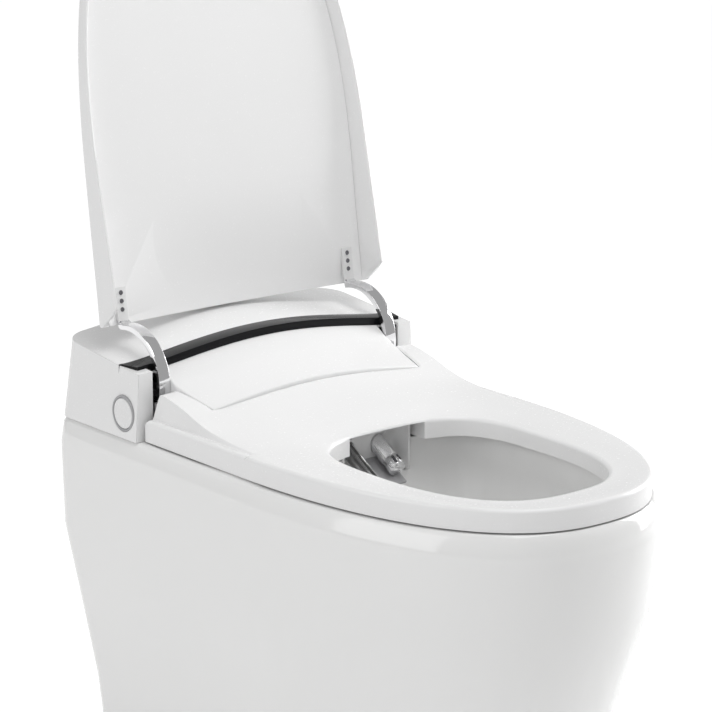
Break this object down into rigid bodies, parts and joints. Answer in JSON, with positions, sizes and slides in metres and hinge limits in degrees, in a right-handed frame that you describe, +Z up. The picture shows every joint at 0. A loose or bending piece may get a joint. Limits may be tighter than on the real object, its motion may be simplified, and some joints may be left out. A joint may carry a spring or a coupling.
{
  "type": "smart toilet with heated seat",
  "caption": "White one-piece smart toilet with heated seat, open lid on chrome arms, black accent bar and two spray wands.",
  "frame": {"origin": "centre of the waste outlet at floor level; floor is z = 0", "axes": "+Z up, -Y towards the front of the bowl, +X to the left of a seated person"},
  "size_m": [0.392, 0.69, 1.0077],
  "materials": {
    "ceramic": "glossy",
    "white_plastic": "satin gloss",
    "black_gloss": "glossy",
    "grey_plastic": "satin",
    "dark_plastic": "matt",
    "inner_plastic": "matt",
    "chrome": "polished",
    "steel": "brushed",
    "screw_steel": "dark zinc",
    "brass": "turned",
    "foil": "foil",
    "board": "lacquered",
    "seal_rubber": "matt",
    "hose_rubber": "matt",
    "bumper_rubber": "matt"
  },
  "bodies": {
    "root": {"ceramic_pedestal": "ceramic", "waste_seal": "seal_rubber", "deck_bolts": "steel", "base_tray": "inner_plastic", "housing_shell": "white_plastic", "rear_cover": "white_plastic", "accent_bar": "black_gloss", "centre_panel": "white_plastic", "hinge_bracket_left": "steel", "hinge_bracket_right": "steel", "hinge_shafts": "steel", "lid_damper": "dark_plastic", "seat_damper": "dark_plastic", "button_ring": "grey_plastic", "button_switch": "dark_plastic", "spray_housing": "white_plastic", "wand_tray": "grey_plastic", "wand_drives": "dark_plastic", "dryer_blower": "dark_plastic", "dryer_duct": "inner_plastic", "water_heater": "inner_plastic", "inlet_valve": "dark_plastic", "inlet_nipple": "brass", "cable_gland": "dark_plastic", "spray_pump": "dark_plastic", "control_board": "board", "power_unit": "steel", "deodoriser": "dark_plastic", "spray_hose": "hose_rubber", "supply_hose": "hose_rubber", "flush_valve": "inner_plastic", "flush_pipe": "hose_rubber"},
    "lid": {"lid_outer": "white_plastic", "lid_inner": "white_plastic", "lid_arm_left": "chrome", "lid_arm_right": "chrome", "lid_screws": "screw_steel", "lid_bumpers": "bumper_rubber"},
    "seat": {"seat_top": "white_plastic", "seat_bottom": "white_plastic", "seat_heater": "foil", "seat_bumpers": "bumper_rubber", "seat_link_left": "steel", "seat_link_right": "steel"},
    "rear_wand": {"rear_wand": "chrome", "rear_wand_tip": "chrome"},
    "front_wand": {"front_wand": "chrome", "front_wand_tip": "chrome"},
    "button": {"button_cap": "grey_plastic"},
    "blower": {"blower_wheel": "grey_plastic"}
  },
  "joints": [
    {"name": "lid_hinge", "type": "hinge", "parent": "root", "child": "lid", "pos_m": [0, 0.187, 0.45], "axis": [-1, 0, 0], "range_deg": [-102.4, 0]},
    {"name": "seat_hinge", "type": "hinge", "parent": "root", "child": "seat", "pos_m": [0, 0.187, 0.45], "axis": [-1, 0, 0], "range_deg": [0, 94]},
    {"name": "rear_wand_slide", "type": "slide", "parent": "root", "child": "rear_wand", "axis": [0, -0.8572, -0.515], "range_m": [-0.062, 0]},
    {"name": "front_wand_slide", "type": "slide", "parent": "root", "child": "front_wand", "axis": [0, -0.8572, -0.515], "range_m": [-0.034, 0]},
    {"name": "flush_button", "type": "slide", "parent": "root", "child": "button", "axis": [1, 0, 0], "range_m": [0, 0.002], "stiffness_N_per_m": 400, "springref_m": -0.001},
    {"name": "blower_spin", "type": "hinge", "parent": "root", "child": "blower", "pos_m": [-0.086, 0.229, 0.405], "axis": [0, 0, 1], "continuous": true}
  ]
}
